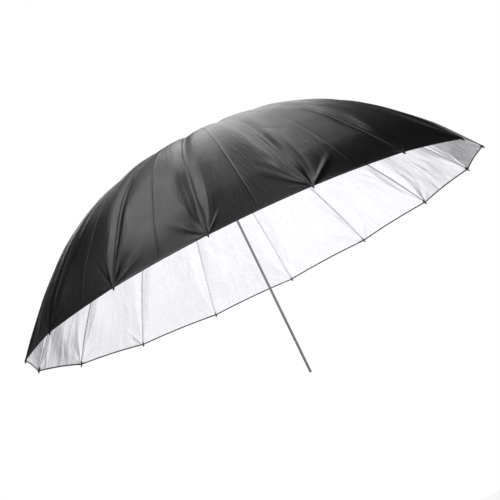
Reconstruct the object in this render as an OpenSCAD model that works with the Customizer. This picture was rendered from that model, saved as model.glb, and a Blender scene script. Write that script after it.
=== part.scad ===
// Sixteen-rib studio umbrella reflector: an 8 mm tube shaft, fibreglass ribs hinged on a wire ring at the
// crown, steel U-channel stretchers hinged on a second wire ring in the sliding runner, and a reflective
// lined canopy. Millimetres. The origin is the centre of the shaft's free end, and +Z runs along the shaft
// up to the crown. Drawn fully open. Each stretcher is as long as its rib's own arm, so the runner slides
// straight as the ribs fold.

/* [Shaft] */
// Outside diameter of the tube, the size that a light stand's umbrella clamp grips
shaft_d = 8; // [6:0.5:12]
// Wall of the tube
shaft_wall = 0.8; // [0.5:0.1:1.5]
// Height of the rib tips above the free end of the shaft
rim_height = 390; // [300:5:480]
// Height of the rolled bead that stops the runner when the umbrella is closed
bead_z = 106; // [90:1:112]
// How far the rolled bead stands out of the tube
bead_out = 0.7; // [0.4:0.1:1.2]

/* [Ribs] */
// Diameter of a fibreglass rib
rib_d = 3.5; // [2.5:0.1:4.5]
// Slope of the rib where it leaves the crown
slope_0 = 4.5; // [0:0.5:8]
// Bend radius of the inner part of the rib
bend_1 = 1550; // [1200:10:2000]
// Slope at the end of the inner part
slope_1 = 15; // [12:0.5:18]
// Bend radius of the middle of the rib, which the stretcher pushes up
bend_2 = 710; // [600:10:900]
// Slope at the end of the middle
slope_2 = 44.3; // [40:0.1:47]
// Bend radius of the nearly straight outer end
bend_3 = 2270; // [1600:10:4000]
// Slope at the rib's tip
slope_3 = 51.5; // [48:0.5:56]
// Slope of the rib where the stretcher joint sits
joint_slope = 20; // [18:0.5:22]
// How far the joint's pin hangs below the middle of the rib
joint_drop = 5; // [4.5:0.1:7]
// How far the end cap stands out past the hem
tip_out = 6; // [3:0.5:12]

/* [Crown and runner] */
// Radius of the wire ring that the ribs, or the stretchers, turn on
ring_r = 12; // [11:0.5:16]
// Thickness of the flat eye at the end of a rib or stretcher
eye_t = 1.8; // [1.4:0.1:2]
// Width of the slot that an eye turns in
slot_w = 2.2; // [1.8:0.1:2.4]
// Outside radius of the slotted hubs
hub_r = 16; // [15:0.5:20]
// Length of the runner's finger sleeve below the hinge ring
sleeve_len = 50; // [35:1:60]
// Gap all round between the runner's bore and the shaft
runner_gap = 0.1; // [0.05:0.01:0.3]

/* [Canopy] */
// Thickness of the lined cloth with its seams
cloth_t = 0.6; // [0.4:0.1:1]
// Gap between neighbouring canopy panels along the mid-gore crease
crease_gap = 0.5; // [0.4:0.1:1]
// Radius of the hole in the middle of the canopy, under the washer
canopy_hole = 12; // [9:0.5:14]

/* [Hidden] */
$fn = 64;
ribs = 16;
step = 360 / ribs;
half = step / 2;
shaft_r = shaft_d / 2;
bore_r = shaft_r - shaft_wall;
rib_r = rib_d / 2;
wire_r = 0.8;
eye_r = 2.2;
pin_r = 1;

// Run out from the crown hinge, and drop below it, of the point where the rib's slope is s
function within(s, from, to) = max(min(s, to), from);
function run(s) = bend_1 * (sin(within(s, slope_0, slope_1)) - sin(slope_0))
    + bend_2 * (sin(within(s, slope_1, slope_2)) - sin(slope_1))
    + bend_3 * (sin(within(s, slope_2, slope_3)) - sin(slope_2));
function drop(s) = bend_1 * (cos(slope_0) - cos(within(s, slope_0, slope_1)))
    + bend_2 * (cos(slope_1) - cos(within(s, slope_1, slope_2)))
    + bend_3 * (cos(slope_2) - cos(within(s, slope_2, slope_3)));

crown_z = rim_height + drop(slope_3);
// The joint's pin, measured from the crown hinge, and the arm it makes with both hinges
joint_x = run(joint_slope) - joint_drop * sin(joint_slope);
joint_y = drop(joint_slope) + joint_drop * cos(joint_slope);
arm = norm([joint_x, joint_y]);
arm_slope = atan(joint_y / joint_x);
runner_z = crown_z - 2 * joint_y;
cloth_in = rib_r + 0.9;
// Slopes at which the cloth's section is divided into short straight runs
folds = concat([for (k = [0:5]) slope_0 + (slope_1 - slope_0) * k / 6],
               [for (k = [0:15]) slope_1 + (slope_2 - slope_1) * k / 16],
               [for (k = [0:6]) slope_2 + (slope_3 - slope_2) * k / 6]);
catch_z = runner_z - sleeve_len - 0.5;
catch_foot = catch_z - 28;

// ---------- placing ----------

module about_crown(k) rotate([0, 0, k * step]) translate([ring_r, 0, crown_z]) children();

// X runs on along the rib and Z points out of the dome, where the rib's slope is s
module on_rib(s) translate([run(s), 0, -drop(s)]) rotate([0, s, 0]) children();

// From the joint's pin, X runs along the stretcher to the runner and Z points away from the canopy
module on_stretcher() translate([joint_x, 0, -joint_y]) rotate([0, 180 - arm_slope, 0]) children();

module across(r, length) rotate([90, 0, 0]) cylinder(r = r, h = length, center = true);

module plate(thickness) rotate([90, 0, 0]) linear_extrude(thickness, center = true) children();

// ---------- shaft ----------

module shaft_tube() color("Silver")
    difference() {
        union() {
            cylinder(r = shaft_r, h = crown_z + 3);
            translate([0, 0, bead_z]) rotate_extrude()
                polygon([[bore_r + 0.2, -2.4], [shaft_r, -2.4], [shaft_r + bead_out, -0.8],
                         [shaft_r + bead_out, 0.8], [shaft_r, 2.4], [bore_r + 0.2, 2.4]]);
        }
        translate([0, 0, -1]) cylinder(r = bore_r, h = crown_z + 10);
        // Slot that the catch springs out of, and the holes for its pin
        translate([0, -1.2, catch_foot - 3]) cube([shaft_r + 1, 2.4, catch_z - catch_foot + 5]);
        translate([0, 0, catch_foot]) across(0.7, 3 * shaft_r);
        // Hole for the crown's rivet
        translate([0, 0, crown_z - 9]) rotate([0, 0, half]) across(1.05, 3 * shaft_r);
    }

module shaft_plug() color("DimGray")
    rotate_extrude()
        polygon([[0, 0.2], [bore_r - 0.6, 0.2], [bore_r - 0.05, 0.8], [bore_r - 0.05, 12], [0, 12]]);

module catch_body() plate(2)
    difference() {
        union() {
            circle(r = 1.8);
            polygon([[-1.6, 0], [1.2, -1.2], [1.8, 0], [3, 12], [6.2, 25], [6.2, 28], [1.4, 28], [-0.4, 14]]);
        }
        circle(r = 0.75);
    }

module spring_catch() color("Gainsboro") translate([0, 0, catch_foot]) catch_body();

module catch_pin() color("Gainsboro") translate([0, 0, catch_foot]) across(0.7, 2 * shaft_r - 0.6);

// ---------- crown ----------

// The slots stop short of the bore; each lets one flat eye turn about the wire ring
module slots(bottom, top)
    for (k = [0:ribs - 1]) rotate([0, 0, k * step])
        translate([ring_r - eye_r - 0.4, -slot_w / 2, bottom]) cube([hub_r, slot_w, top - bottom]);

module ring_groove() rotate_extrude() translate([ring_r, 0]) circle(r = wire_r + 0.05);

module crown() color("DimGray")
    translate([0, 0, crown_z]) difference() {
        rotate_extrude() polygon([[shaft_r + 0.03, -14], [8, -14], [8.6, -13.4], [8.6, -7],
                                  [hub_r, -5], [hub_r, 2.2], [shaft_r + 0.03, 2.2]]);
        slots(-6.9, 3);
        ring_groove();
        translate([0, 0, -9]) rotate([0, 0, half]) across(1.05, 30);
    }

module crown_ring() color("Silver")
    translate([0, 0, crown_z]) rotate_extrude() translate([ring_r, 0]) circle(r = wire_r);

module crown_rivet() color("Silver")
    translate([0, 0, crown_z - 9]) rotate([0, 0, half]) {
        across(1, 18.4);
        for (s = [-1, 1]) translate([0, s * 9.3, 0]) across(1.9, 0.8);
    }

module washer() color("Black")
    translate([0, 0, crown_z + cloth_in + cloth_t + 0.3]) difference() {
        cylinder(r = 20, h = 0.8);
        translate([0, 0, -1]) cylinder(r = shaft_r + 0.3, h = 3);
    }

module top_cap() color("Black")
    translate([0, 0, crown_z]) rotate_extrude()
        polygon([[0, 3.2], [shaft_r + 0.1, 3.2], [shaft_r + 0.1, 4.4], [9.5, 4.4], [9.5, 4.9], [9, 5.5],
                 [7, 6.3], [4, 6.9], [0, 7.1]]);

// ---------- runner ----------

module runner() color("DimGray")
    translate([0, 0, runner_z]) difference() {
        rotate_extrude()
            polygon([[shaft_r + runner_gap, -sleeve_len], [9, -sleeve_len], [9.6, -sleeve_len + 0.6],
                     [9.6, -sleeve_len + 5], [7.4, -sleeve_len + 8], [7.4, -14], [8.6, -9], [8.6, -7],
                     [hub_r, -5], [hub_r, 3], [8.2, 5], [shaft_r + runner_gap, 5]]);
        slots(-6.9, 6);
        ring_groove();
        // Finger grooves round the sleeve
        for (z = [-34:6:-16]) translate([0, 0, z]) rotate_extrude() translate([8.6, 0]) circle(r = 1.8);
    }

module runner_ring() color("Silver")
    translate([0, 0, runner_z]) rotate_extrude() translate([ring_r, 0]) circle(r = wire_r);

// ---------- ribs ----------

module rod(from, to, bend)
    on_rib(from) translate([0, 0, -bend]) rotate([0, -90, -90])
        rotate_extrude(angle = to - from) translate([bend, 0]) circle(r = rib_r);

// The flat eye, and the ferrule that holds the rod
module rib_root() on_rib(slope_0) {
    difference() {
        union() {
            across(eye_r, eye_t);
            translate([0, -eye_t / 2, -eye_r]) cube([15, eye_t, 2 * eye_r]);
        }
        across(wire_r + 0.1, 4);
    }
    translate([12.6, 0, 0]) rotate([0, 90, 0]) cylinder(r = 2.4, h = 14);
}

// Saddle crimped on the rod, with the tongue and the pin that carry the stretcher's fork
module rib_joint() {
    on_rib(joint_slope) {
        translate([-8, 0, 0]) rotate([0, 90, 0]) cylinder(r = 2.45, h = 16);
        translate([0, 0, -joint_drop]) across(eye_r, eye_t);
        translate([-3.5, -eye_t / 2, -joint_drop]) cube([7, eye_t, joint_drop]);
    }
    translate([joint_x, 0, -joint_y]) {
        across(pin_r, 5.4);
        for (s = [-1, 1]) translate([0, s * 2.35, 0]) across(1.7, 0.7);
    }
}

module rib_tip() on_rib(slope_3) rotate([0, 90, 0]) {
    translate([0, 0, -14]) cylinder(r = 2.35, h = 14 + tip_out - 2.35);
    translate([0, 0, tip_out - 2.35]) sphere(r = 2.35);
}

// Short sleeve where the canopy is tied to the rib
module rib_tie(s) on_rib(s) translate([-4, 0, 0]) rotate([0, 90, 0]) cylinder(r = 2.2, h = 8);

module rib() {
    rib_root();
    rod(slope_0 + 0.5, slope_1, bend_1);
    rod(slope_1, slope_2, bend_2);
    rod(slope_2, slope_3, bend_3);
    rib_tie(slope_1);
    rib_tie(slope_2);
    rib_joint();
    rib_tip();
}

// ---------- stretchers ----------

// U-section steel channel: a fork round the rib's tongue at one end, and a flat eye on the runner's ring
// at the other
module stretcher() on_stretcher() difference() {
    union() {
        for (s = [-1, 1]) translate([0, s * 1.4, 0]) {
            across(2.1, 0.6);
            translate([0, -0.3, -2.1]) cube([arm - 16, 0.6, 4.2]);
        }
        translate([6, -1.7, 1.5]) cube([arm - 22, 3.4, 0.6]);
        translate([arm - 24, -1.7, -2.1]) cube([8, 3.4, 4.2]);
        translate([arm - 17, -eye_t / 2, -2.1]) cube([17, eye_t, 4.2]);
        translate([arm, 0, 0]) across(eye_r, eye_t);
    }
    across(pin_r + 0.05, 6);
    translate([arm, 0, 0]) across(wire_r + 0.1, 4);
}

// ---------- canopy ----------

// The cloth's section down the middle of a gore, where it is closer to the shaft than over a rib
function cloth_at(s, out) = [cos(half) * (ring_r + run(s) + out * sin(s)), crown_z - drop(s) + out * cos(s)];

module cloth_section() polygon(concat([for (s = folds) cloth_at(s, cloth_in + cloth_t)],
                                      [for (k = [len(folds) - 1:-1:0]) cloth_at(folds[k], cloth_in)]));

// Half a gore, flat from the rib across to the crease
module half_gore(side) intersection() {
    rotate([0, 0, side * half]) plate(340) cloth_section();
    linear_extrude(crown_z + 50)
        polygon([[canopy_hole, 0], [900, 0], [900, side * (900 * tan(half) - crease_gap / 2)],
                 [canopy_hole, side * (canopy_hole * tan(half) - crease_gap / 2)]]);
}

module canopy_panel(k) rotate([0, 0, k * step]) {
    half_gore(-1);
    half_gore(1);
}

// ---------- one module for each piece that repeats ----------

module rib_01() color("LightGray") about_crown(0) rib();
module rib_02() color("LightGray") about_crown(1) rib();
module rib_03() color("LightGray") about_crown(2) rib();
module rib_04() color("LightGray") about_crown(3) rib();
module rib_05() color("LightGray") about_crown(4) rib();
module rib_06() color("LightGray") about_crown(5) rib();
module rib_07() color("LightGray") about_crown(6) rib();
module rib_08() color("LightGray") about_crown(7) rib();
module rib_09() color("LightGray") about_crown(8) rib();
module rib_10() color("LightGray") about_crown(9) rib();
module rib_11() color("LightGray") about_crown(10) rib();
module rib_12() color("LightGray") about_crown(11) rib();
module rib_13() color("LightGray") about_crown(12) rib();
module rib_14() color("LightGray") about_crown(13) rib();
module rib_15() color("LightGray") about_crown(14) rib();
module rib_16() color("LightGray") about_crown(15) rib();

module stretcher_01() color("Silver") about_crown(0) stretcher();
module stretcher_02() color("Silver") about_crown(1) stretcher();
module stretcher_03() color("Silver") about_crown(2) stretcher();
module stretcher_04() color("Silver") about_crown(3) stretcher();
module stretcher_05() color("Silver") about_crown(4) stretcher();
module stretcher_06() color("Silver") about_crown(5) stretcher();
module stretcher_07() color("Silver") about_crown(6) stretcher();
module stretcher_08() color("Silver") about_crown(7) stretcher();
module stretcher_09() color("Silver") about_crown(8) stretcher();
module stretcher_10() color("Silver") about_crown(9) stretcher();
module stretcher_11() color("Silver") about_crown(10) stretcher();
module stretcher_12() color("Silver") about_crown(11) stretcher();
module stretcher_13() color("Silver") about_crown(12) stretcher();
module stretcher_14() color("Silver") about_crown(13) stretcher();
module stretcher_15() color("Silver") about_crown(14) stretcher();
module stretcher_16() color("Silver") about_crown(15) stretcher();

module canopy_panel_01() color("Black") canopy_panel(0);
module canopy_panel_02() color("Black") canopy_panel(1);
module canopy_panel_03() color("Black") canopy_panel(2);
module canopy_panel_04() color("Black") canopy_panel(3);
module canopy_panel_05() color("Black") canopy_panel(4);
module canopy_panel_06() color("Black") canopy_panel(5);
module canopy_panel_07() color("Black") canopy_panel(6);
module canopy_panel_08() color("Black") canopy_panel(7);
module canopy_panel_09() color("Black") canopy_panel(8);
module canopy_panel_10() color("Black") canopy_panel(9);
module canopy_panel_11() color("Black") canopy_panel(10);
module canopy_panel_12() color("Black") canopy_panel(11);
module canopy_panel_13() color("Black") canopy_panel(12);
module canopy_panel_14() color("Black") canopy_panel(13);
module canopy_panel_15() color("Black") canopy_panel(14);
module canopy_panel_16() color("Black") canopy_panel(15);

shaft_tube();
shaft_plug();
spring_catch();
catch_pin();
crown();
crown_ring();
crown_rivet();
washer();
top_cap();
runner();
runner_ring();
rib_01();
rib_02();
rib_03();
rib_04();
rib_05();
rib_06();
rib_07();
rib_08();
rib_09();
rib_10();
rib_11();
rib_12();
rib_13();
rib_14();
rib_15();
rib_16();
stretcher_01();
stretcher_02();
stretcher_03();
stretcher_04();
stretcher_05();
stretcher_06();
stretcher_07();
stretcher_08();
stretcher_09();
stretcher_10();
stretcher_11();
stretcher_12();
stretcher_13();
stretcher_14();
stretcher_15();
stretcher_16();
canopy_panel_01();
canopy_panel_02();
canopy_panel_03();
canopy_panel_04();
canopy_panel_05();
canopy_panel_06();
canopy_panel_07();
canopy_panel_08();
canopy_panel_09();
canopy_panel_10();
canopy_panel_11();
canopy_panel_12();
canopy_panel_13();
canopy_panel_14();
canopy_panel_15();
canopy_panel_16();
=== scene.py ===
import math

import bmesh
import bpy
import numpy as np
from mathutils import Matrix, Vector


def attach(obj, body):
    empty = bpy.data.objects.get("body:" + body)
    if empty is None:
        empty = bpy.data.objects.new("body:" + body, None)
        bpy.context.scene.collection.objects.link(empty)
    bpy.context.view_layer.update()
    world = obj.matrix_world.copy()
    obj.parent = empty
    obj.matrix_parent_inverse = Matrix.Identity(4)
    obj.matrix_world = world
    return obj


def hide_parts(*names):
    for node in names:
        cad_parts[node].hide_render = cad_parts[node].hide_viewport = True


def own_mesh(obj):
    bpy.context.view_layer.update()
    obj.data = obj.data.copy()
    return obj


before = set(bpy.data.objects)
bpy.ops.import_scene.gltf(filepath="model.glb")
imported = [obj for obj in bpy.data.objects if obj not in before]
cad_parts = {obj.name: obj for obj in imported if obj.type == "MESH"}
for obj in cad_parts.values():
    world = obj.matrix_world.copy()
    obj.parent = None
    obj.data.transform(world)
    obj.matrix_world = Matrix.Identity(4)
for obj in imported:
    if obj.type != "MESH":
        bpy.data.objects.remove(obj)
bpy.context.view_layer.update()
print("frame loaded")


def linear(hexColour):
    # an sRGB hex colour as the linear values that a shader takes
    parts = [int(hexColour[i:i + 2], 16) / 255 for i in (1, 3, 5)]
    return tuple(c / 12.92 if c <= 0.04045 else ((c + 0.055) / 1.055) ** 2.4 for c in parts) + (1.0,)


def perMetre(*sizes):
    # how many times a pattern of each size, in mm, fits in a metre
    return [1000 / size for size in sizes]


def addNode(tree, kind, settings={}, values={}, links={}):
    # settings are the node's own options; values and links go to its inputs, by name or number
    node = tree.nodes.new(kind)
    for name, value in settings.items():
        setattr(node, name, value)
    for socket, value in values.items():
        node.inputs[socket].default_value = value
    for socket, source in links.items():
        tree.links.new(source, node.inputs[socket])
    return node


def startMaterial(name, **surface):
    # a material with its Principled shader, whose even values are set on the shader's own sockets
    material = bpy.data.materials.new(name)
    material.use_nodes = True
    tree = material.node_tree
    shader = tree.nodes["Principled BSDF"]
    for socket, value in surface.items():
        shader.inputs[socket.replace("_", " ")].default_value = value
    return material, tree, shader


def newObject(name, mesh):
    thing = bpy.data.objects.new(name, mesh)
    bpy.context.collection.objects.link(thing)
    return thing


shot = {
    "place": (-1.3150, -4.522, -0.3190),
    "target": (-0.0032, 0.0045, 0.4335),
    "roll": 25.92,             # degrees, the camera leans so that the shaft runs down to the right
    "lens": 108.0,
}


def makeCamera():
    camera = bpy.data.objects.new("camera", bpy.data.cameras.new("camera"))
    camera.data.lens = shot["lens"]
    camera.data.sensor_width = 36
    place, target = Vector(shot["place"]), Vector(shot["target"])
    level = (target - place).to_track_quat("-Z", "Y").to_matrix().to_4x4()
    roll = Matrix.Rotation(math.radians(-shot["roll"]), 4, "Z")
    camera.matrix_world = Matrix.Translation(place) @ level @ roll
    bpy.context.collection.objects.link(camera)
    bpy.context.scene.camera = camera


paper = {
    "height": -1.35,
    "radius": 14.0,
    "colour": "#f4f4f4",
    "shown": 0.85,             # its own light to the camera, which brings it close to white
    "poolMiddle": (-0.84, 0.2, -1.35),
    "poolStretch": (0.7, 1.0, 1.0),   # the pool of light is longer from side to side
    "poolReach": (0.5, 8.5),          # metres from its middle where it begins and ends to fade
    "poolLevels": (1.03, 0.15),
    "cloudSize": 900,                 # mm
    "cloudLevels": (0.84, 1.12),
}


def makeFloor():
    bm = bmesh.new()
    bmesh.ops.create_circle(bm, cap_ends=True, segments=64, radius=paper["radius"])
    bmesh.ops.translate(bm, verts=bm.verts, vec=(0, 0, paper["height"]))
    mesh = bpy.data.meshes.new("floor")
    bm.to_mesh(mesh)
    bm.free()
    floor = newObject("floor", mesh)
    # matt studio paper: bright to the camera and in reflections, and it still takes a shadow
    colour = linear(paper["colour"])
    material, tree, shader = startMaterial("matt studio paper", Roughness=0.9, Base_Color=colour)
    shader.inputs["Emission Color"].default_value = (1, 1, 1, 1)
    path = addNode(tree, "ShaderNodeLightPath")
    seen = addNode(tree, "ShaderNodeMath", {"operation": "MAXIMUM"}, {},
                   {0: path.outputs["Is Camera Ray"], 1: path.outputs["Is Transmission Ray"]})
    shown = addNode(tree, "ShaderNodeMath", {"operation": "MULTIPLY"}, {1: paper["shown"]},
                    {0: seen.outputs[0]})
    # in reflections the light on it is a pool that fades to the back and the sides
    place = addNode(tree, "ShaderNodeTexCoord").outputs["Object"]
    stretched = addNode(tree, "ShaderNodeVectorMath", {"operation": "MULTIPLY"},
                        {1: paper["poolStretch"]}, {0: place})
    away = addNode(tree, "ShaderNodeVectorMath", {"operation": "DISTANCE"},
                   {1: paper["poolMiddle"]}, {0: stretched.outputs[0]})
    near, far = paper["poolReach"]
    bright, dim = paper["poolLevels"]
    pool = addNode(tree, "ShaderNodeMapRange", {"interpolation_type": "SMOOTHSTEP"},
                   {"From Min": near, "From Max": far, "To Min": bright, "To Max": dim},
                   {"Value": away.outputs["Value"]})
    # the light is cloudy, in patches 0.9 m across
    cloud = addNode(tree, "ShaderNodeTexNoise", {},
                    {"Scale": perMetre(paper["cloudSize"])[0], "Detail": 1.0}, {"Vector": place})
    thin, thick = paper["cloudLevels"]
    cloud = addNode(tree, "ShaderNodeMapRange", {},
                    {"From Min": 0.3, "From Max": 0.7, "To Min": thin, "To Max": thick},
                    {"Value": cloud.outputs["Fac"]})
    reflected = addNode(tree, "ShaderNodeMath", {"operation": "MULTIPLY"}, {},
                        {0: pool.outputs[0], 1: cloud.outputs[0]})
    strength = addNode(tree, "ShaderNodeMath", {"operation": "MULTIPLY_ADD"}, {},
                       {0: path.outputs["Is Glossy Ray"], 1: reflected.outputs[0], 2: shown.outputs[0]})
    tree.links.new(strength.outputs[0], shader.inputs["Emission Strength"])
    # from below it is clear, so that it never hides the umbrella
    below = addNode(tree, "ShaderNodeNewGeometry").outputs["Backfacing"]
    clear = addNode(tree, "ShaderNodeBsdfTransparent")
    sides = addNode(tree, "ShaderNodeMixShader", {}, {},
                    {0: below, 1: shader.outputs[0], 2: clear.outputs[0]})
    tree.links.new(sides.outputs[0], tree.nodes["Material Output"].inputs["Surface"])
    mesh.materials.append(material)


studio = {
    "wallTop": (0.16, 0.40),       # sine of the height where the pale wall begins and ends to darken
    "ceiling": 0.03,               # what is left of the light above it
    "leftRight": (0.20, 0.60),     # light of the wall from the left to the right
    "backWay": (0.5, 0.87, 0.0),
    "back": 0.9,                   # more light behind the umbrella, and in front of it
    "front": 0.5,
}


def makeWorld():
    # white to the camera; to the cloth, a dark studio with a pale band of wall all round, low down
    world = bpy.data.worlds.new("studio")
    bpy.context.scene.world = world
    world.use_nodes = True
    tree = world.node_tree
    tree.nodes.clear()
    output = addNode(tree, "ShaderNodeOutputWorld")
    direction = addNode(tree, "ShaderNodeTexCoord").outputs["Generated"]
    way = addNode(tree, "ShaderNodeSeparateXYZ", {}, {}, {0: direction})
    low, high = studio["wallTop"]
    wall = addNode(tree, "ShaderNodeMapRange", {"interpolation_type": "SMOOTHSTEP"},
                   {"From Min": low, "From Max": high, "To Min": 1.0, "To Max": studio["ceiling"]},
                   {"Value": way.outputs["Z"]})
    left, right = studio["leftRight"]
    sides = addNode(tree, "ShaderNodeMapRange", {},
                    {"From Min": -1.0, "From Max": 1.0, "To Min": left, "To Max": right},
                    {"Value": way.outputs["X"]})
    facing = addNode(tree, "ShaderNodeVectorMath", {"operation": "DOT_PRODUCT"},
                     {1: studio["backWay"]}, {0: direction})
    back = addNode(tree, "ShaderNodeMapRange", {"interpolation_type": "SMOOTHSTEP"},
                   {"From Min": 0.6, "From Max": 1.0, "To Min": 0.0, "To Max": studio["back"]},
                   {"Value": facing.outputs["Value"]})
    front = addNode(tree, "ShaderNodeMapRange", {"interpolation_type": "SMOOTHSTEP"},
                    {"From Min": -0.3, "From Max": -1.0, "To Min": 0.0, "To Max": studio["front"]},
                    {"Value": way.outputs["Y"]})
    ends = addNode(tree, "ShaderNodeMath", {"operation": "ADD"}, {},
                   {0: back.outputs[0], 1: front.outputs[0]})
    allRound = addNode(tree, "ShaderNodeMath", {"operation": "ADD"}, {},
                       {0: ends.outputs[0], 1: sides.outputs[0]})
    strength = addNode(tree, "ShaderNodeMath", {"operation": "MULTIPLY"}, {},
                       {0: allRound.outputs[0], 1: wall.outputs[0]})
    path = addNode(tree, "ShaderNodeLightPath")
    seen = addNode(tree, "ShaderNodeMath", {"operation": "MAXIMUM"}, {},
                   {0: path.outputs["Is Camera Ray"], 1: path.outputs["Is Transmission Ray"]})
    light = addNode(tree, "ShaderNodeBackground", {}, {"Color": (1, 1, 1, 1)},
                    {"Strength": strength.outputs[0]})
    white = addNode(tree, "ShaderNodeBackground", {}, {"Color": (1, 1, 1, 1), "Strength": 1.0})
    mix = addNode(tree, "ShaderNodeMixShader", {}, {},
                  {0: seen.outputs[0], 1: light.outputs[0], 2: white.outputs[0]})
    tree.links.new(mix.outputs[0], output.inputs["Surface"])


lighting = {
    "middle": (0, -0.3, 0.7),      # what the lamps point at
    "distance": 3.0,
    "lamps": [
        # name, bearing and height in degrees as seen from the middle, side in metres, brightness
        ("low back softbox", 65, 25, 0.95, 1.8),
        ("low left back softbox", 92, 20, 0.80, 1.8),
        ("right back softbox", 45, 45, 0.95, 1.2),
        ("back softbox", 70, 45, 0.95, 2.7),
        ("left back softbox", 98, 45, 0.95, 0.4),
        ("far left back softbox", 150, 45, 0.95, 0.7),
        ("right top softbox", 30, 65, 0.95, 3.6),
        ("middle top softbox", 65, 65, 0.95, 1.9),
        ("middle left top softbox", 105, 65, 0.95, 1.5),
        ("left top softbox", 140, 65, 0.95, 2.5),
        ("far left top softbox", 175, 65, 0.95, 2.2),
        ("right front top softbox", -40, 70, 0.95, 1.7),
        ("left front top softbox", -90, 60, 0.95, 1.1),
        ("left front softbox", 205, 40, 0.95, 1.2),
    ],
}


def makeLamps():
    for name, bearing, height, side, brightness in lighting["lamps"]:
        light = bpy.data.lights.new(name, "AREA")
        light.size = side
        light.energy = brightness * math.pi * side ** 2
        around, up = math.radians(bearing), math.radians(height)
        away = Vector((math.cos(around) * math.cos(up), math.sin(around) * math.cos(up), math.sin(up)))
        place = Matrix.Translation(Vector(lighting["middle"]) + lighting["distance"] * away)
        lamp = bpy.data.objects.new(name, light)
        lamp.matrix_world = place @ away.to_track_quat("Z", "Y").to_matrix().to_4x4()
        bpy.context.collection.objects.link(lamp)


makeCamera()
makeFloor()
makeWorld()
makeLamps()
bpy.context.scene.view_settings.view_transform = "Standard"
print("camera, floor and light made")


satin = {
    "colours": ("#0b0b0e", "#131318"),
    "roughness": (0.31, 0.40),
    "marks": 60,               # mm, soft marks of handling
    "threads": 0.9,            # mm; real threads are 0.15 mm apart, drawn coarser so that they show
    "threadRelief": 0.12,      # mm
    "crumples": (7, 60, 1000), # mm wide and long, left by folding and drawn out along the ribs
    "crumpleRelief": 1.2,      # mm
}


def nylonSatin():
    # black nylon satin, woven and calendered: a close smooth cloth with a broad soft shine
    material, tree, shader = startMaterial("black nylon satin", IOR=1.5)
    cloth = addNode(tree, "ShaderNodeUVMap", {"uv_map": "cloth"}).outputs["UV"]
    marks = addNode(tree, "ShaderNodeTexNoise", {}, {"Scale": perMetre(satin["marks"])[0], "Detail": 3.0},
                    {"Vector": cloth})
    dark, pale = satin["colours"]
    tint = addNode(tree, "ShaderNodeMix", {"data_type": "RGBA"}, {6: linear(dark), 7: linear(pale)},
                   {0: marks.outputs["Fac"]})
    tree.links.new(tint.outputs[2], shader.inputs["Base Color"])
    smooth, rough = satin["roughness"]
    gloss = addNode(tree, "ShaderNodeMapRange", {}, {"To Min": smooth, "To Max": rough},
                    {"Value": marks.outputs["Fac"]})
    tree.links.new(gloss.outputs[0], shader.inputs["Roughness"])
    apart = addNode(tree, "ShaderNodeSeparateXYZ", {}, {}, {0: cloth})
    threads = []
    for side in ("X", "Y"):
        turns = addNode(tree, "ShaderNodeMath", {"operation": "MULTIPLY"},
                        {1: math.tau * perMetre(satin["threads"])[0]}, {0: apart.outputs[side]})
        threads.append(addNode(tree, "ShaderNodeMath", {"operation": "SINE"}, {}, {0: turns.outputs[0]}))
    weave = addNode(tree, "ShaderNodeMath", {"operation": "MULTIPLY"}, {},
                    {0: threads[0].outputs[0], 1: threads[1].outputs[0]})
    fine = addNode(tree, "ShaderNodeBump", {}, {"Strength": 0.12, "Distance": satin["threadRelief"] / 1000},
                   {"Height": weave.outputs[0]})
    drawn = addNode(tree, "ShaderNodeVectorMath", {"operation": "MULTIPLY"},
                    {1: perMetre(*satin["crumples"])}, {0: cloth})
    crumple = addNode(tree, "ShaderNodeTexNoise", {}, {"Scale": 1.0, "Detail": 3.0, "Roughness": 0.6},
                      {"Vector": drawn.outputs[0]})
    bump = addNode(tree, "ShaderNodeBump", {}, {"Strength": 0.6, "Distance": satin["crumpleRelief"] / 1000},
                   {"Height": crumple.outputs["Fac"], "Normal": fine.outputs[0]})
    tree.links.new(bump.outputs[0], shader.inputs["Normal"])
    return material


silver = {
    "colours": ("#e4e4ea", "#f0f0f3"),
    "roughness": (0.22, 0.34),
    "rubs": 45,                # mm, where the powder is rubbed smooth
    "crumples": (14, 110, 1000),   # mm wide and long, drawn out along the ribs
    "crumpleRelief": 1.5,      # mm
    "dents": (40, 100, 1000),      # mm wide and long, broad and soft
    "dentRelief": 6.0,         # mm
}


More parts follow.
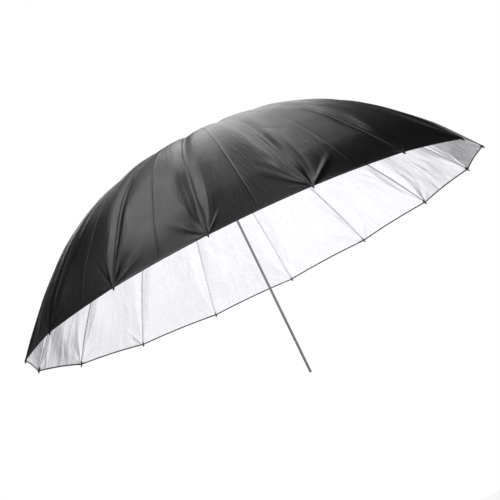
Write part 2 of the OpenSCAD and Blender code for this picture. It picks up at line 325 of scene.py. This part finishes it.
def silverCoating():
    # aluminium powder bonded to the nylon: bright, with a blurred metal shine
    material, tree, shader = startMaterial("silver coated nylon", Metallic=0.9, IOR=1.5)
    cloth = addNode(tree, "ShaderNodeUVMap", {"uv_map": "cloth"}).outputs["UV"]
    rubs = addNode(tree, "ShaderNodeTexNoise", {}, {"Scale": perMetre(silver["rubs"])[0], "Detail": 4.0},
                   {"Vector": cloth})
    dark, pale = silver["colours"]
    tint = addNode(tree, "ShaderNodeMix", {"data_type": "RGBA"}, {6: linear(dark), 7: linear(pale)},
                   {0: rubs.outputs["Fac"]})
    tree.links.new(tint.outputs[2], shader.inputs["Base Color"])
    smooth, rough = silver["roughness"]
    gloss = addNode(tree, "ShaderNodeMapRange", {}, {"To Min": smooth, "To Max": rough},
                    {"Value": rubs.outputs["Fac"]})
    tree.links.new(gloss.outputs[0], shader.inputs["Roughness"])
    drawn = addNode(tree, "ShaderNodeVectorMath", {"operation": "MULTIPLY"},
                    {1: perMetre(*silver["crumples"])}, {0: cloth})
    crumple = addNode(tree, "ShaderNodeTexNoise", {}, {"Scale": 1.0, "Detail": 2.0, "Roughness": 0.5},
                      {"Vector": drawn.outputs[0]})
    fine = addNode(tree, "ShaderNodeBump", {},
                   {"Strength": 0.5, "Distance": silver["crumpleRelief"] / 1000},
                   {"Height": crumple.outputs["Fac"]})
    broad = addNode(tree, "ShaderNodeVectorMath", {"operation": "MULTIPLY"},
                    {1: perMetre(*silver["dents"])}, {0: cloth})
    dent = addNode(tree, "ShaderNodeTexNoise", {}, {"Scale": 1.0, "Detail": 1.0, "Distortion": 0.6},
                   {"Vector": broad.outputs[0]})
    bump = addNode(tree, "ShaderNodeBump", {}, {"Strength": 0.7, "Distance": silver["dentRelief"] / 1000},
                   {"Height": dent.outputs["Fac"], "Normal": fine.outputs[0]})
    tree.links.new(bump.outputs[0], shader.inputs["Normal"])
    return material


canopyMaterials = [nylonSatin(), silverCoating()]
print("cloth materials made")


# lengths are in metres
dome = {
    "ribs": 16,
    "ringRadius": 0.012,
    "rimHeight": 0.390,
    "firstSlope": 4.5,         # degrees down, where a rib leaves the crown
    "bends": ((1.550, 10.5), (0.710, 29.3), (2.270, 7.2)),   # radius of each bend and its turn in degrees
    "clothInside": 0.00265,    # from the middle of a rib to the cloth
    "thickness": 0.0005,
    "hemWidth": 0.005,
    "hemHeight": 0.0005,       # how far the turned hem stands out of the cloth
    "hemSag": 0.0042,          # how far the hem curves in between two ribs
    "bulge": 0.0016,           # how far a gore stands out between its ribs
    "seamWidth": 0.0040,       # half of the felled seam over a rib
    "seamHeight": 0.0006,
    "tapeWidth": 0.0075,       # half of the tape that covers the seam inside
    "tapeHeight": 0.0006,
    "puff": 0.0082,            # how far the cloth swells between two tight seams
    "valley": 0.026,           # how far from a seam it has swollen
    "pucker": 0.0005,
    "puckerReach": 0.016,      # how far from a seam the puckers fade
    "creaseHeight": 0.0009,    # the crease pressed into the middle of a gore by folding
    "creaseWidth": 0.0030,
    "columns": 92,             # faces across one panel
    "rows": 26,                # faces along one band
    "crowding": 0.75,          # 0 spaces the columns evenly, 1 crowds them at the rib and the crease
    "bandEdges": (0.0, 0.2, 0.34, 0.46, 0.57, 0.68, 0.79, 0.9, 1.0),   # shares of a rib's length
    "foldAngle": 58.5,         # degrees, from open to closed
}
halfGore = math.pi / dome["ribs"]
lengths = [bend * math.radians(turn) for bend, turn in dome["bends"]]
ribLength = sum(lengths)


def meridian(share):
    # distance from the shaft, fall and downward slope of the middle of a rib, at a share of its length
    along = np.asarray(share, float) * ribLength
    turned = math.radians(dome["firstSlope"])
    radius, fall, slope = dome["ringRadius"], 0.0, turned
    for (bend, turn), length in zip(dome["bends"], lengths):
        part = np.clip(along, 0, length) / bend
        radius = radius + bend * (np.sin(turned + part) - math.sin(turned))
        fall = fall + bend * (math.cos(turned) - np.cos(turned + part))
        slope = slope + part
        turned += math.radians(turn)
        along = along - length
    return radius, fall, slope


rimRadius, rimFall, rimSlope = (float(x) for x in meridian(1.0))
crownHeight = dome["rimHeight"] + rimFall
dice = np.random.default_rng(16)


def startFolds():
    # folds that the tension draws out of a rib's tip: angle from the rib, reach, width and height
    steep = [(dice.uniform(0.08, 0.30), dice.uniform(0.16, 0.34), dice.uniform(0.005, 0.008),
              dice.uniform(0.0008, 0.0018)) for fold in range(2)]
    middling = [(dice.uniform(0.30, 0.90), dice.uniform(0.09, 0.19), dice.uniform(0.004, 0.008),
                 dice.uniform(0.0008, 0.0020)) for fold in range(3)]
    flat = [(dice.uniform(0.90, 1.40), dice.uniform(0.05, 0.10), dice.uniform(0.003, 0.005),
             dice.uniform(0.0004, 0.0010)) for fold in range(3)]
    return [(angle, reach, width, height * dice.choice([-1, 1, 1]))
            for angle, reach, width, height in steep + middling + flat]


def startRunners():
    # a long fold that leaves the tip and runs beside the seam: distance from it, reach, width and height
    return [(dice.uniform(0.022, 0.046), dice.uniform(0.22, 0.50), dice.uniform(0.004, 0.007),
             dice.uniform(0.0006, 0.0014) * dice.choice([-1, 1]))]


def startStrays():
    # stray folds: distance from the first rib and from the hem, at both ends, then width and height
    return [(dice.uniform(0.03, 0.12), dice.uniform(0.15, 0.45), dice.uniform(0.05, 0.14),
             dice.uniform(0.12, 0.40), dice.uniform(0.004, 0.007), dice.uniform(-0.0008, 0.0008))
            for stray in range(2)]


def startWaves(count, slow, quick):
    # waves per metre and phase of a sum of sines that never quite repeats
    return [(dice.uniform(slow, quick), dice.uniform(0, math.tau)) for wave in range(count)]


def startRipples():
    # waves across and along the gore, phase and height
    return [(dice.uniform(0.3, 1.4), dice.uniform(-2.6, 2.6), dice.uniform(0, math.tau),
             dice.uniform(0.0004, 0.0012)) for wave in range(5)]


gores = [{
    "folds": [startFolds(), startFolds()],
    "runners": [startRunners(), startRunners()],
    "strays": startStrays(),
    "puckers": [startWaves(3, 55, 85), startWaves(3, 55, 85)],
    "patches": [startWaves(2, 2, 5), startWaves(2, 2, 5)],
    "swells": [startWaves(3, 2, 6), startWaves(3, 2, 6)],
    "ripples": startRipples(),
} for gore in range(dome["ribs"])]

# the strongest folds, on the gores that face the front
gores[10]["runners"] = [[(0.024, 0.50, 0.007, 0.0016)], [(0.020, 0.34, 0.006, -0.0014)]]
gores[10]["folds"][0] += [(1.00, 0.12, 0.006, 0.0022), (0.30, 0.22, 0.006, 0.0020)]
gores[11]["runners"] = [[(0.041, 0.30, 0.0035, 0.0017)],
                        [(0.009, 0.26, 0.004, 0.0014), (0.030, 0.24, 0.007, -0.0012)]]
gores[11]["folds"][0] += [(0.62, 0.15, 0.007, 0.0020)]
gores[11]["folds"][1] += [(0.52, 0.20, 0.006, 0.0024), (0.33, 0.24, 0.006, 0.0018)]
gores[12]["runners"] = [[(0.037, 0.36, 0.007, -0.0026)], [(0.030, 0.30, 0.006, 0.0009)]]
gores[12]["folds"][0] += [(0.87, 0.17, 0.008, 0.0028)]
gores[12]["strays"] = [(0.031, 0.347, 0.077, 0.285, 0.006, -0.0018),
                       (0.090, 0.200, 0.125, 0.130, 0.006, 0.0010)]


def easeIn(value, low, high):
    part = np.clip((value - low) / (high - low), 0, 1)
    return part * part * (3 - 2 * part)


def waves(own, along):
    return sum(np.sin(math.tau * n * along + phase) for n, phase in own) / len(own)


def ridge(away, width):
    # section of a fold: a rounded ridge with hollow flanks
    return np.exp(1 - np.sqrt(1 + (away / width) ** 2))


def swell(own, wide, otherWide, toHem):
    # the seams' thread is tighter than the cloth, which swells between them
    swollen = dome["puff"] * easeIn(toHem, 0.0, 0.15)
    for side, fromSeam in enumerate((wide, otherWide)):
        valley = dome["valley"] * (1 + 0.30 * waves(own["swells"][side], toHem))
        swollen = swollen * (1 - np.exp(-(fromSeam / valley) ** 2))
    return swollen


def seamFolds(own, side, wide, toHem, fade):
    # what the seam on one side of a gore does to it: small puckers in places, runners and the tip's fan
    clear = 1 - np.exp(-(wide / 0.006) ** 2)   # the seam itself stays straight
    patch = easeIn(waves(own["patches"][side], toHem), 0.1, 0.7)
    slanted = waves(own["puckers"][side], toHem + 0.5 * wide)
    near = np.exp(-(wide / dome["puckerReach"]) ** 2)
    rise = dome["pucker"] * slanted * patch * clear * near * fade * easeIn(toHem, 0.03, 0.10)
    for beside, far, width, height in own["runners"][side]:
        away = wide - beside * (1 - np.exp(-toHem / 0.08))
        ends = easeIn(toHem, 0.0, 0.08) * (1 - easeIn(toHem, 0.5 * far, far))
        rise = rise + height * ridge(away, width) * ends * clear * fade
    reach = np.hypot(wide, toHem)
    turn = np.arctan2(wide, toHem + 1e-9)
    for angle, far, width, height in own["folds"][side]:
        # narrow at the tip, highest a third of the way along, and gone at its reach
        part = np.clip(reach / far, 0, 1)
        line = ridge((turn - angle) * reach, width * (0.4 + part))
        rise = rise + height * line * 2.6 * part ** 0.6 * (1 - part) ** 1.3 * clear
    return rise


def strayFolds(own, wide, toHem):
    rise = 0.0
    for startWide, startHem, endWide, endHem, width, height in own["strays"]:
        longWide, longHem = endWide - startWide, endHem - startHem
        long = math.hypot(longWide, longHem)
        part = ((wide - startWide) * longWide + (toHem - startHem) * longHem) / long ** 2
        away = ((wide - startWide) * longHem - (toHem - startHem) * longWide) / long
        rise = rise + height * ridge(away, width) * np.exp(-(2 * part - 1) ** 4)
    return rise


def slowRipples(own, place, share):
    rise = 0.0
    for across, along, phase, height in own["ripples"]:
        turns = across * place + along * share
        rise = rise + height * np.sin(math.tau * turns + phase) * np.sin(math.pi * place)
    return rise


def goreRise(gore, place, share):
    # height of the cloth beyond a flat gore; place runs from 0 at one rib to 1 at the next
    own = gores[gore]
    width = 2 * meridian(share)[0] * math.tan(halfGore)
    wide, otherWide = width * place, width * (1 - place)
    toHem = (1 - share) * ribLength
    fade = easeIn(share, 0.06, 0.30)   # the cloth is tight and plain near the crown
    rise = dome["bulge"] * 4 * share ** 3 * (1 - share ** 3) * (1 - np.abs(1 - 2 * place) ** 3)
    rise = rise + swell(own, wide, otherWide, toHem)
    rise = rise + seamFolds(own, 0, wide, toHem, fade) + seamFolds(own, 1, otherWide, toHem, fade)
    rise = rise + strayFolds(own, wide, toHem) * fade
    rise = rise + slowRipples(own, place, share) * fade * easeIn(toHem, 0.0, 0.12)
    fromCrease = np.abs(place - 0.5) * width
    pressed = easeIn(share, 0.12, 0.35) * easeIn(toHem, 0.015, 0.06)
    return rise + dome["creaseHeight"] * np.exp(-fromCrease / dome["creaseWidth"]) * pressed


def clothPlace(rib, across, along, lift):
    # a point of the cloth: across runs from -1 to 1 between two mid-gore creases, with the rib at 0,
    # along from 0 at the crown to 1 at the hem, and lift is its height above the cloth's inner face
    between = 1 - (1 - np.abs(across)) ** 2
    share = along * (1 - dome["hemSag"] / ribLength * between)
    radius, fall, slope = meridian(share)
    toHem = (1 - along) * ribLength
    wide = np.abs(across) * radius * math.tan(halfGore)
    rise = np.where(across >= 0, goreRise(rib, across / 2, share),
                    goreRise((rib - 1) % dome["ribs"], 1 + across / 2, share))
    # flat-felled seam over the rib, the tape under it, and the hem turned under twice
    seam = dome["seamHeight"] / (1 + (wide / dome["seamWidth"]) ** 8)
    tape = -dome["tapeHeight"] / (1 + (wide / dome["tapeWidth"]) ** 16)
    rise = rise + np.where(lift > 0, seam, tape)
    hem = dome["hemHeight"] / (1 + (np.maximum(toHem, 0) / dome["hemWidth"]) ** 12)
    rise = rise + hem * np.where(lift > 0, 1, -1)
    # the flat gore between two ribs, then the rise out of it
    outward = radius + (dome["clothInside"] + lift) * np.sin(slope)
    x = outward * (1 - np.abs(across) * math.sin(halfGore) ** 2)
    y = outward * across * math.cos(halfGore) * math.sin(halfGore)
    z = crownHeight - fall + (dome["clothInside"] + lift) * np.cos(slope)
    lean = across * halfGore
    x = x + rise * np.sin(slope) * np.cos(lean)
    y = y + rise * np.sin(slope) * np.sin(lean)
    z = z + rise * np.cos(slope)
    angle = rib * 2 * halfGore
    turnedX = x * math.cos(angle) - y * math.sin(angle)
    turnedY = x * math.sin(angle) + y * math.cos(angle)
    return np.stack([turnedX, turnedY, z], -1)


def clothNormal(rib, across, along, lift):
    step = 1e-3
    acrossWay = clothPlace(rib, across + step, along, lift) - clothPlace(rib, across - step, along, lift)
    alongWay = clothPlace(rib, across, along + step, lift) - clothPlace(rib, across, along - step, lift)
    normal = np.cross(alongWay, acrossWay)
    return normal / np.linalg.norm(normal, axis=-1, keepdims=True)


def clothBand(rib, first, last):
    # one band of a panel, as a thin closed sheet whose two faces have their own materials
    bm = bmesh.new()
    bmesh.ops.create_grid(bm, x_segments=dome["columns"], y_segments=dome["rows"], size=1)
    inside = set(bm.faces)
    grown = bmesh.ops.extrude_face_region(bm, geom=list(bm.faces), use_keep_orig=True)["geom"]
    upper = [part for part in grown if isinstance(part, bmesh.types.BMVert)]
    bmesh.ops.translate(bm, verts=upper, vec=(0, 0, 0.1))   # only marks the outer face, until it is shaped
    bmesh.ops.recalc_face_normals(bm, faces=bm.faces)
    for face in bm.faces:
        face.smooth = True
        face.material_index = 1 if face in inside else 0
    mesh = bpy.data.meshes.new("cloth")
    bm.to_mesh(mesh)
    bm.free()
    flat = np.empty(len(mesh.vertices) * 3)
    mesh.vertices.foreach_get("co", flat)
    flat = flat.reshape(-1, 3)
    # columns lie closer together beside the rib and the crease, and rows beside the hem
    across = -flat[:, 0] + dome["crowding"] * np.sin(math.tau * flat[:, 0]) / math.tau
    row = (flat[:, 1] + 1) / 2
    if last == 1:
        row = 1 - (1 - row) ** 1.6
    along = first + (last - first) * row
    lift = np.where(flat[:, 2] > 0.05, dome["thickness"], 0.0)
    place = clothPlace(rib, across, along, lift)
    normal = clothNormal(rib, across, along, lift) * np.where(lift > 0, 1, -1)[:, None]
    mesh.vertices.foreach_set("co", place.ravel())
    corners = np.empty(len(mesh.loops), int)
    mesh.loops.foreach_get("vertex_index", corners)
    # the cloth map is in metres; each panel has its own place on it, 0.7 m from the next
    mapX = across * meridian(along)[0] * math.tan(halfGore) + rib * 0.7
    sheetUv = np.stack([mapX, along * ribLength], -1)
    mesh.uv_layers.new(name="cloth").data.foreach_set("uv", sheetUv[corners].ravel())
    if last == 1:
        edge = 1 - dome["hemWidth"] / ribLength
        for face in mesh.polygons:
            if min(along[v] for v in face.vertices) > edge:
                face.material_index = 0
    mesh.update()
    for material in canopyMaterials:
        mesh.materials.append(material)
    mesh.normals_split_custom_set_from_vertices([tuple(n) for n in normal])
    return mesh


def closedShare(share):
    # distance from the shaft when closed, as a share of the distance when open
    radius, fall, slope = (float(x) for x in meridian(share))
    fold = math.radians(dome["foldAngle"])
    run = radius - dome["ringRadius"]
    closed = dome["ringRadius"] + run * math.cos(fold) - fall * math.sin(fold)
    return min(1.0, closed / radius)


def makeCanopy():
    # each band is made and hung on its rib's body, and the model's panel for that rib is hidden; the room
    # that the closed umbrella leaves the band is worked out, but nothing folds it
    for rib in range(dome["ribs"]):
        name = f"{rib + 1:02d}"
        for band, (first, last) in enumerate(zip(dome["bandEdges"], dome["bandEdges"][1:])):
            sheet = newObject(f"canopy_{name}_band_{band + 1}", clothBand(rib, first, last))
            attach(sheet, f"rib_{name}")
            room = closedShare(max(first + 0.12 * (last - first), 0.06))
            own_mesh(sheet)
            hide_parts(f"canopy_panel_{name}")
            wide = 2 * math.tan(halfGore) * float(meridian(last)[0])
            narrow = 2 * math.tan(halfGore) * float(meridian(first)[0])


makeCanopy()
print("canopy made")


def startFinish(name, look, **surface):
    # a finish with two patterns: the fine one stands in relief, and the broad one varies the shine
    material, tree, shader = startMaterial(name, **surface)
    place = addNode(tree, "ShaderNodeTexCoord").outputs["Object"]
    patterns = {}
    for pattern in ("fine", "broad"):
        *size, detail = look[pattern]
        stretched = addNode(tree, "ShaderNodeVectorMath", {"operation": "MULTIPLY"},
                            {1: perMetre(*size)}, {0: place})
        noise = addNode(tree, "ShaderNodeTexNoise", {}, {"Scale": 1.0, "Detail": detail},
                        {"Vector": stretched.outputs[0]})
        patterns[pattern] = noise.outputs["Fac"]
    dark, pale = look["colours"]
    tint = addNode(tree, "ShaderNodeMix", {"data_type": "RGBA"}, {6: linear(dark), 7: linear(pale)},
                   {0: patterns[look["colourFollows"]]})
    tree.links.new(tint.outputs[2], shader.inputs["Base Color"])
    smooth, rough = look["roughness"]
    gloss = addNode(tree, "ShaderNodeMapRange", {}, {"To Min": smooth, "To Max": rough},
                    {"Value": patterns["broad"]})
    tree.links.new(gloss.outputs[0], shader.inputs["Roughness"])
    strength, relief = look["relief"]
    bump = addNode(tree, "ShaderNodeBump", {}, {"Strength": strength, "Distance": relief / 1000},
                   {"Height": patterns["fine"]})
    tree.links.new(bump.outputs[0], shader.inputs["Normal"])
    return material, tree, shader, place, patterns, tint


# in each finish a pattern is given by its size in mm along X, Y and Z, and its detail,
# and the relief by its strength and its height in mm; a fine pattern is drawn coarser
# than on the real one, so that it shows
tube = {
    "colours": ("#8b8d92", "#9a9ca0"),
    "colourFollows": "fine",
    "roughness": (0.30, 0.44),
    "fine": (1.25, 1.25, 330, 0.0),    # drawing lines, 0.1 mm apart on the real one
    "broad": (17, 17, 45, 3.0),        # clouds in the anodising
    "relief": (0.05, 0.06),
}


def drawnTube():
    # aluminium tube, drawn and satin anodised: soft grey metal with faint lines along it
    return startFinish("satin anodised aluminium", tube, Metallic=1.0)[0]


hub = {
    "colours": ("#101012", "#1b1b1d"),
    "colourFollows": "broad",
    "roughness": (0.42, 0.60),
    "fine": (0.5, 0.5, 0.5, 2.0),      # the tool's grain, 0.2 mm wide on the real one
    "broad": (11, 11, 11, 4.0),        # wear
    "relief": (0.5, 0.10),
}


def mouldedNylon():
    # glass-filled black nylon, moulded in a spark-eroded tool: matt, with a fine even grain
    return startFinish("moulded black nylon", hub, IOR=1.53)[0]


cap = {
    "colours": ("#0b0b0c", "#141416"),
    "colourFollows": "broad",
    "roughness": (0.14, 0.30),
    "fine": (0.55, 6, 2.5, 1.0),       # hairline scratches, 0.05 mm wide on the real one
    "broad": (4, 4, 4, 3.0),           # dust
    "relief": (0.2, 0.04),
}


def polishedNylon():
    # black nylon from a polished tool: glossy, with the hairline scratches of handling
    return startFinish("polished black nylon", cap, IOR=1.53)[0]


wire = {
    "colours": ("#b4b1ab", "#cfccc6"),
    "colourFollows": "fine",
    "roughness": (0.20, 0.36),
    "fine": (0.7, 0.7, 0.7, 2.0),      # drawing marks, 0.1 mm wide on the real one
    "broad": (3.5, 3.5, 3.5, 3.0),     # clouds in the plating
    "relief": (0.2, 0.05),
}


def nickelSteel():
    # steel wire and strip, nickel plated: bright and slightly warm, with fine drawing marks
    return startFinish("nickel plated steel", wire, Metallic=1.0)[0]


washer = {
    "colours": ("#0c0c0e", "#1d1d20"),
    "roughness": (0.70, 0.90),
    "threads": 1.2,            # mm for two threads, over and under
    "threadRelief": 0.15,      # mm
    "lint": 1.5,               # mm
}


def wovenWasher():
    # polyester canvas, plain woven and stiffened: dull black with a coarse thread
    material, tree, shader = startMaterial("black polyester canvas", IOR=1.5, Sheen_Weight=0.25)
    place = addNode(tree, "ShaderNodeTexCoord").outputs["Object"]
    apart = addNode(tree, "ShaderNodeSeparateXYZ", {}, {}, {0: place})
    threads = []
    for side in ("X", "Y"):
        turns = addNode(tree, "ShaderNodeMath", {"operation": "MULTIPLY"},
                        {1: math.tau * perMetre(washer["threads"])[0]}, {0: apart.outputs[side]})
        threads.append(addNode(tree, "ShaderNodeMath", {"operation": "SINE"}, {}, {0: turns.outputs[0]}))
    weave = addNode(tree, "ShaderNodeMath", {"operation": "MULTIPLY"}, {},
                    {0: threads[0].outputs[0], 1: threads[1].outputs[0]})
    bump = addNode(tree, "ShaderNodeBump", {}, {"Strength": 0.6, "Distance": washer["threadRelief"] / 1000},
                   {"Height": weave.outputs[0]})
    tree.links.new(bump.outputs[0], shader.inputs["Normal"])
    lint = addNode(tree, "ShaderNodeTexNoise", {}, {"Scale": perMetre(washer["lint"])[0], "Detail": 3.0},
                   {"Vector": place})
    dark, pale = washer["colours"]
    tint = addNode(tree, "ShaderNodeMix", {"data_type": "RGBA"}, {6: linear(dark), 7: linear(pale)},
                   {0: lint.outputs["Fac"]})
    tree.links.new(tint.outputs[2], shader.inputs["Base Color"])
    smooth, rough = washer["roughness"]
    gloss = addNode(tree, "ShaderNodeMapRange", {}, {"To Min": smooth, "To Max": rough},
                    {"Value": lint.outputs["Fac"]})
    tree.links.new(gloss.outputs[0], shader.inputs["Roughness"])
    return material


rod = {
    "colours": ("#d4d6da", "#e8e9ec"),
    "colourFollows": "broad",
    "roughness": (0.26, 0.42),
    "fine": (0.7, 0.7, 0.7, 1.0),      # strands of fibres, 0.02 mm thick on the real one
    "broad": (22, 22, 22, 3.0),        # clouds in the resin
    "relief": (0.25, 0.06),
    "steel": ("#a9abae", "#c6c8ca"),   # ferrule at the crown, and saddle at the stretcher's joint
    "ferruleEnd": 0.0386,              # metres from the shaft's centre line
    "jointSlope": 20,                  # degrees, slope of the rib where the joint sits
    "jointReach": 0.0079,              # half of the saddle, as seen from above
    "cap": "#101012",
    "capLength": 0.0088,
}


def shareAt(slope):
    # share of a rib's length at which it has come to a downward slope, in degrees
    along, turned = 0.0, dome["firstSlope"]
    for bend, turn in dome["bends"]:
        along += bend * math.radians(min(max(slope - turned, 0.0), turn))
        turned += turn
    return along / ribLength


def ribFinish():
    # pultruded glass fibre rod in resin with aluminium powder: pale silver, faintly silky along its fibres,
    # with a pressed steel ferrule and saddle and a black end cap
    material, tree, shader, place, patterns, tint = startFinish("silver glass fibre rod", rod, IOR=1.52)
    level = addNode(tree, "ShaderNodeVectorMath", {"operation": "MULTIPLY"}, {1: (1.0, 1.0, 0.0)},
                    {0: place})
    away = addNode(tree, "ShaderNodeVectorMath", {"operation": "LENGTH"}, {}, {0: level.outputs[0]})
    away = away.outputs["Value"]
    joint = float(meridian(shareAt(rod["jointSlope"]))[0])
    ferrule = addNode(tree, "ShaderNodeMath", {"operation": "COMPARE"}, {1: 0.0, 2: rod["ferruleEnd"]},
                      {0: away})
    saddle = addNode(tree, "ShaderNodeMath", {"operation": "COMPARE"}, {1: joint, 2: rod["jointReach"]},
                     {0: away})
    steel = addNode(tree, "ShaderNodeMath", {"operation": "MAXIMUM"}, {},
                    {0: ferrule.outputs[0], 1: saddle.outputs[0]})
    end = addNode(tree, "ShaderNodeMath", {"operation": "GREATER_THAN"}, {1: rimRadius - rod["capLength"]},
                  {0: away})
    dark, pale = rod["steel"]
    plated = addNode(tree, "ShaderNodeMix", {"data_type": "RGBA"}, {6: linear(dark), 7: linear(pale)},
                     {0: patterns["fine"]})
    fitted = addNode(tree, "ShaderNodeMix", {"data_type": "RGBA"}, {},
                     {0: steel.outputs[0], 6: tint.outputs[2], 7: plated.outputs[2]})
    capped = addNode(tree, "ShaderNodeMix", {"data_type": "RGBA"}, {7: linear(rod["cap"])},
                     {0: end.outputs[0], 6: fitted.outputs[2]})
    tree.links.new(capped.outputs[2], shader.inputs["Base Color"])
    metal = addNode(tree, "ShaderNodeMapRange", {}, {"To Min": 0.75, "To Max": 1.0},
                    {"Value": steel.outputs[0]})
    metal = addNode(tree, "ShaderNodeMath", {"operation": "SUBTRACT", "use_clamp": True}, {},
                    {0: metal.outputs[0], 1: end.outputs[0]})
    tree.links.new(metal.outputs[0], shader.inputs["Metallic"])
    return material


channel = {
    "colours": ("#a3a7ac", "#bcc0c4"),
    "roughness": (0.26, 0.42),
    "spangle": 4,              # mm
    "marks": 0.6,              # mm; rolling marks are 0.1 mm wide, drawn coarser so that they show
    "markRelief": 0.05,        # mm
}


def zincSteel():
    # rolled steel channel, bright zinc plated: cool grey, with a faint spangle and rolling marks
    material, tree, shader = startMaterial("bright zinc plated steel", Metallic=1.0)
    place = addNode(tree, "ShaderNodeTexCoord").outputs["Object"]
    spangle = addNode(tree, "ShaderNodeTexVoronoi", {"feature": "F1"},
                      {"Scale": perMetre(channel["spangle"])[0]}, {"Vector": place})
    patch = addNode(tree, "ShaderNodeSeparateColor", {}, {}, {0: spangle.outputs["Color"]}).outputs[0]
    dark, pale = channel["colours"]
    tint = addNode(tree, "ShaderNodeMix", {"data_type": "RGBA"}, {6: linear(dark), 7: linear(pale)},
                   {0: patch})
    tree.links.new(tint.outputs[2], shader.inputs["Base Color"])
    smooth, rough = channel["roughness"]
    gloss = addNode(tree, "ShaderNodeMapRange", {}, {"To Min": smooth, "To Max": rough}, {"Value": patch})
    tree.links.new(gloss.outputs[0], shader.inputs["Roughness"])
    marks = addNode(tree, "ShaderNodeTexNoise", {}, {"Scale": perMetre(channel["marks"])[0], "Detail": 2.0},
                    {"Vector": place})
    bump = addNode(tree, "ShaderNodeBump", {}, {"Strength": 0.2, "Distance": channel["markRelief"] / 1000},
                   {"Height": marks.outputs["Fac"]})
    tree.links.new(bump.outputs[0], shader.inputs["Normal"])
    return material


def finish(material, *nodes):
    for node in nodes:
        for slot in bpy.data.objects[node].material_slots:
            slot.material = material


numbers = [f"{rib + 1:02d}" for rib in range(dome["ribs"])]
finish(drawnTube(), "shaft_tube")
finish(mouldedNylon(), "crown", "runner", "shaft_plug")
finish(polishedNylon(), "top_cap")
finish(nickelSteel(), "crown_ring", "runner_ring", "crown_rivet", "catch_pin", "spring_catch")
finish(wovenWasher(), "washer")
finish(ribFinish(), *[f"rib_{number}" for number in numbers])
finish(zincSteel(), *[f"stretcher_{number}" for number in numbers])
print("rigid pieces finished")
